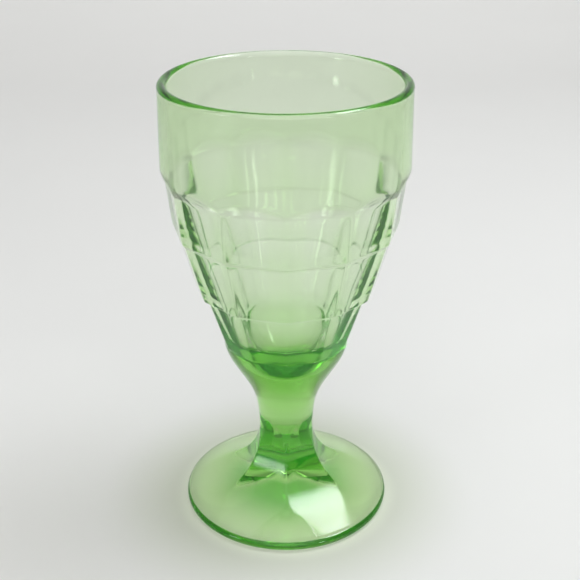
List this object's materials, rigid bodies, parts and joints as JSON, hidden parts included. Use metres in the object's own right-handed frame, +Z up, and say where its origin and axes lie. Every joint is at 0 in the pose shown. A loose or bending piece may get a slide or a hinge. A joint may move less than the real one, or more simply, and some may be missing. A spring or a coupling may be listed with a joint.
{
  "type": "stemmed drinking glass",
  "caption": "Green pressed-glass goblet: flat-panelled tapering bowl under a plain round band, waisted solid stem, sloping faceted foot.",
  "frame": {"origin": "centre of the resting plane under the foot, on the axis of the glass", "axes": "+Z up along the axis, from the foot to the lip; -Y towards a vertical edge between two panels"},
  "size_m": [0.0764, 0.0764, 0.146],
  "materials": {
    "green_glass": "fire-polished pressed glass, transparent yellow-green"
  },
  "bodies": {
    "root": {"bowl": "green_glass", "stem": "green_glass", "foot": "green_glass"}
  },
  "joints": []
}
